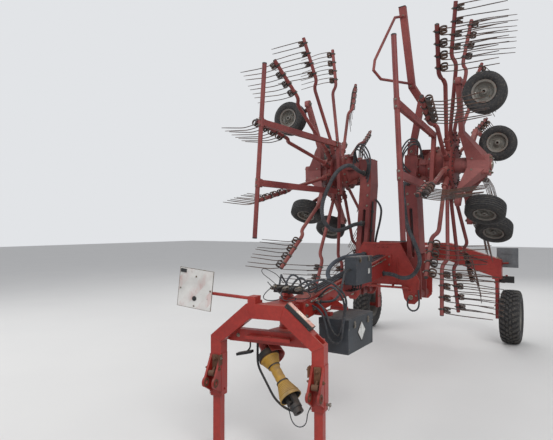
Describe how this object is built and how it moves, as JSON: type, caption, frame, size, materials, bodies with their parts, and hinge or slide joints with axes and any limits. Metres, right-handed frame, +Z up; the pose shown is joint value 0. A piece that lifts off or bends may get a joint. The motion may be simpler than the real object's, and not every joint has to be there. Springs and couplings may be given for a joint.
{
  "type": "twin-rotor rotary rake, folded",
  "caption": "Semi-mounted twin-rotor rotary hay rake folded upright for transport, on its rear wheels and parking stands.",
  "frame": {"origin": "on the ground, at the middle of the machine's bounding box seen from above, as parked", "axes": "+X to the machine's left, +Y to the rear, +Z up"},
  "size_m": [2.6686, 5.3251, 4.0438],
  "materials": {
    "rotor_red": "matte",
    "frame_red": "satin",
    "spring_steel": "satin",
    "tyre_rubber": "matte",
    "rim_beige": "matte",
    "hose_black": "matte",
    "chrome_rod": "polished",
    "guard_yellow": "matte",
    "box_grey": "matte",
    "board_white": "matte",
    "black_steel": "satin"
  },
  "bodies": {
    "main_frame": {"main_beam": "rotor_red", "centre_frame": "rotor_red", "rear_axle_frame": "rotor_red", "tool_box": "box_grey", "control_box": "box_grey", "left_boom_hose": "hose_black", "beam_hose": "hose_black", "valve_hose": "hose_black"},
    "headstock": {"headstock": "frame_red", "front_marker_board": "board_white", "drive_shaft_guard": "guard_yellow", "input_gearbox": "black_steel", "drive_shaft_yoke": "black_steel"},
    "left_stand": {"left_stand": "frame_red"},
    "left_knuckle": {"left_rear_knuckle": "rotor_red"},
    "left_road_wheel": {"left_rear_rim": "rim_beige", "left_rear_tyre": "tyre_rubber"},
    "left_boom": {"left_boom": "rotor_red", "left_gear_housing": "rotor_red", "left_guard": "rotor_red", "left_hoop": "rotor_red", "left_rotor_chassis": "rotor_red"},
    "left_rotor": {"left_rotor": "rotor_red", "left_tines": "spring_steel"},
    "left_front_outer_fork": {"left_front_outer_fork": "rotor_red"},
    "left_front_outer_wheel": {"left_front_outer_wheel": "tyre_rubber"},
    "left_rear_outer_fork": {"left_rear_outer_fork": "rotor_red"},
    "left_rear_outer_wheel": {"left_rear_outer_wheel": "tyre_rubber"},
    "left_front_inner_fork": {"left_front_inner_fork": "rotor_red"},
    "left_front_inner_wheel": {"left_front_inner_wheel": "tyre_rubber"},
    "left_rear_inner_fork": {"left_rear_inner_fork": "rotor_red"},
    "left_rear_inner_wheel": {"left_rear_inner_wheel": "tyre_rubber"},
    "left_lift_barrel": {"left_lift_barrel": "rotor_red"},
    "left_lift_rod": {"left_lift_rod": "chrome_rod"},
    "right_stand": {"right_stand": "frame_red"},
    "right_knuckle": {"right_rear_knuckle": "rotor_red"},
    "right_road_wheel": {"right_rear_rim": "rim_beige", "right_rear_tyre": "tyre_rubber"},
    "right_boom": {"right_boom": "rotor_red", "right_gear_housing": "rotor_red", "right_guard": "rotor_red", "right_rotor_chassis": "rotor_red", "right_boom_hose": "hose_black"},
    "right_rotor": {"right_rotor": "rotor_red", "right_tines": "spring_steel"},
    "right_front_outer_fork": {"right_front_outer_fork": "rotor_red"},
    "right_front_outer_wheel": {"right_front_outer_wheel": "tyre_rubber"},
    "right_rear_outer_fork": {"right_rear_outer_fork": "rotor_red"},
    "right_rear_outer_wheel": {"right_rear_outer_wheel": "tyre_rubber"},
    "right_front_inner_fork": {"right_front_inner_fork": "rotor_red"},
    "right_front_inner_wheel": {"right_front_inner_wheel": "tyre_rubber"},
    "right_rear_inner_fork": {"right_rear_inner_fork": "rotor_red"},
    "right_rear_inner_wheel": {"right_rear_inner_wheel": "tyre_rubber"},
    "right_lift_barrel": {"right_lift_barrel": "rotor_red"},
    "right_lift_rod": {"right_lift_rod": "chrome_rod"}
  },
  "joints": [
    {"name": "headstock_swivel", "type": "hinge", "parent": "main_frame", "child": "headstock", "pos_m": [-0.04, -2.0755, 0.862], "axis": [0, 0, 1], "range_deg": [-69, 51]},
    {"name": "left_stand_slide", "type": "slide", "parent": "headstock", "child": "left_stand", "axis": [0, 0, 1], "range_m": [0, 0.35]},
    {"name": "left_steer", "type": "hinge", "parent": "main_frame", "child": "left_knuckle", "pos_m": [0.86, 2.2845, 1.062], "axis": [0, 0, 1], "range_deg": [-18, 18]},
    {"name": "left_road_wheel_spin", "type": "hinge", "parent": "left_knuckle", "child": "left_road_wheel", "pos_m": [1.04, 2.2845, 0.378], "axis": [1, 0, 0], "continuous": true},
    {"name": "left_boom_lower", "type": "hinge", "parent": "main_frame", "child": "left_boom", "pos_m": [0.305, 0.2495, 0.88], "axis": [0, 1, 0], "range_deg": [0, 87]},
    {"name": "left_rotor_spin", "type": "hinge", "parent": "left_boom", "child": "left_rotor", "pos_m": [0.67627, 0.2495, 2.32755], "axis": [-0.9986, 0, 0.0523], "continuous": true},
    {"name": "left_front_outer_swivel", "type": "hinge", "parent": "left_boom", "child": "left_front_outer_fork", "pos_m": [0.8724, -0.2305, 3.10836], "axis": [-0.9986, 0, 0.0523], "range_deg": [-110, 50]},
    {"name": "left_front_outer_wheel_spin", "type": "hinge", "parent": "left_front_outer_fork", "child": "left_front_outer_wheel", "pos_m": [1.09276, -0.2305, 2.95662], "axis": [0, -1, 0], "continuous": true},
    {"name": "left_rear_outer_swivel", "type": "hinge", "parent": "left_boom", "child": "left_rear_outer_fork", "pos_m": [0.85461, 0.7895, 2.76882], "axis": [-0.9986, 0, 0.0523], "range_deg": [-85, 55]},
    {"name": "left_rear_outer_wheel_spin", "type": "hinge", "parent": "left_rear_outer_fork", "child": "left_rear_outer_wheel", "pos_m": [1.07497, 0.7895, 2.61708], "axis": [0, -1, 0], "continuous": true},
    {"name": "left_front_inner_swivel", "type": "hinge", "parent": "left_boom", "child": "left_front_inner_fork", "pos_m": [0.8096, 0.0095, 1.91], "axis": [-0.9986, 0, 0.0523], "range_deg": [-45, 115]},
    {"name": "left_front_inner_wheel_spin", "type": "hinge", "parent": "left_front_inner_fork", "child": "left_front_inner_wheel", "pos_m": [1.03362, 0.13074, 1.82817], "axis": [-0.0453, -0.5, -0.8648], "continuous": true},
    {"name": "left_rear_inner_swivel", "type": "hinge", "parent": "left_boom", "child": "left_rear_inner_fork", "pos_m": [0.79965, 0.6995, 1.72026], "axis": [-0.9986, 0, 0.0523], "range_deg": [-45, 80]},
    {"name": "left_rear_inner_wheel_spin", "type": "hinge", "parent": "left_rear_inner_fork", "child": "left_rear_inner_wheel", "pos_m": [1.02314, 0.81418, 1.62814], "axis": [-0.0429, -0.5736, -0.818], "continuous": true},
    {"name": "left_barrel_swing", "type": "hinge", "parent": "main_frame", "child": "left_lift_barrel", "pos_m": [-0.245, 0.1975, 1.08], "axis": [0, 1, 0], "range_deg": [-0.5, 16.42]},
    {"name": "left_rod_slide", "type": "slide", "parent": "left_lift_barrel", "child": "left_lift_rod", "axis": [0.9945, 0, 0.1044], "range_m": [-0.002, 0.3082]},
    {"name": "right_stand_slide", "type": "slide", "parent": "headstock", "child": "right_stand", "axis": [0, 0, 1], "range_m": [0, 0.35]},
    {"name": "right_steer", "type": "hinge", "parent": "main_frame", "child": "right_knuckle", "pos_m": [-0.94, 2.2845, 1.062], "axis": [0, 0, 1], "range_deg": [-18, 18]},
    {"name": "right_road_wheel_spin", "type": "hinge", "parent": "right_knuckle", "child": "right_road_wheel", "pos_m": [-1.12, 2.2845, 0.378], "axis": [1, 0, 0], "continuous": true},
    {"name": "right_boom_lower", "type": "hinge", "parent": "main_frame", "child": "right_boom", "pos_m": [-0.385, 0.2495, 0.88], "axis": [0, -1, 0], "range_deg": [0, 88.5]},
    {"name": "right_rotor_spin", "type": "hinge", "parent": "right_boom", "child": "right_rotor", "pos_m": [-0.71825, 0.2495, 2.33678], "axis": [0.9997, 0, 0.0262], "continuous": true},
    {"name": "right_front_outer_swivel", "type": "hinge", "parent": "right_boom", "child": "right_front_outer_fork", "pos_m": [-0.89387, -0.2305, 3.12245], "axis": [-0.9997, 0, -0.0262], "range_deg": [-110, 50]},
    {"name": "right_front_outer_wheel_spin", "type": "hinge", "parent": "right_front_outer_fork", "child": "right_front_outer_wheel", "pos_m": [-1.11813, -0.2305, 2.97653], "axis": [0, -1, 0], "continuous": true},
    {"name": "right_rear_outer_swivel", "type": "hinge", "parent": "right_boom", "child": "right_rear_outer_fork", "pos_m": [-0.88497, 0.7895, 2.78256], "axis": [-0.9997, 0, -0.0262], "range_deg": [-85, 55]},
    {"name": "right_rear_outer_wheel_spin", "type": "hinge", "parent": "right_rear_outer_fork", "child": "right_rear_outer_wheel", "pos_m": [-1.10923, 0.7895, 2.63664], "axis": [0, -1, 0], "continuous": true},
    {"name": "right_front_inner_swivel", "type": "hinge", "parent": "right_boom", "child": "right_front_inner_fork", "pos_m": [-0.86246, 0.0095, 1.92286], "axis": [-0.9997, 0, -0.0262], "range_deg": [-45, 115]},
    {"name": "right_front_inner_wheel_spin", "type": "hinge", "parent": "right_front_inner_fork", "child": "right_front_inner_wheel", "pos_m": [-1.08855, 0.13074, 1.84691], "axis": [0.0227, -0.5, -0.8657], "continuous": true},
    {"name": "right_rear_inner_swivel", "type": "hinge", "parent": "right_boom", "child": "right_rear_inner_fork", "pos_m": [-0.85749, 0.6995, 1.73292], "axis": [-0.9997, 0, -0.0262], "range_deg": [-45, 80]},
    {"name": "right_rear_inner_wheel_spin", "type": "hinge", "parent": "right_rear_inner_fork", "child": "right_rear_inner_wheel", "pos_m": [-1.08331, 0.81418, 1.64668], "axis": [0.0214, -0.5736, -0.8189], "continuous": true},
    {"name": "right_barrel_swing", "type": "hinge", "parent": "main_frame", "child": "right_lift_barrel", "pos_m": [0.165, 0.3015, 1.08], "axis": [0, -1, 0], "range_deg": [-0.5, 16.35]},
    {"name": "right_rod_slide", "type": "slide", "parent": "right_lift_barrel", "child": "right_lift_rod", "axis": [-0.9947, 0, 0.1031], "range_m": [-0.002, 0.3149]}
  ],
  "couplings": [
    {"joint": "left_barrel_swing", "follows": "left_boom_lower", "ratio": 0.18295},
    {"joint": "left_rod_slide", "follows": "left_boom_lower", "m_per_rad": 0.20167},
    {"joint": "right_barrel_swing", "follows": "right_boom_lower", "ratio": 0.17905},
    {"joint": "right_rod_slide", "follows": "right_boom_lower", "m_per_rad": 0.20259},
    {"joint": "right_steer", "follows": "left_steer", "ratio": 1}
  ]
}
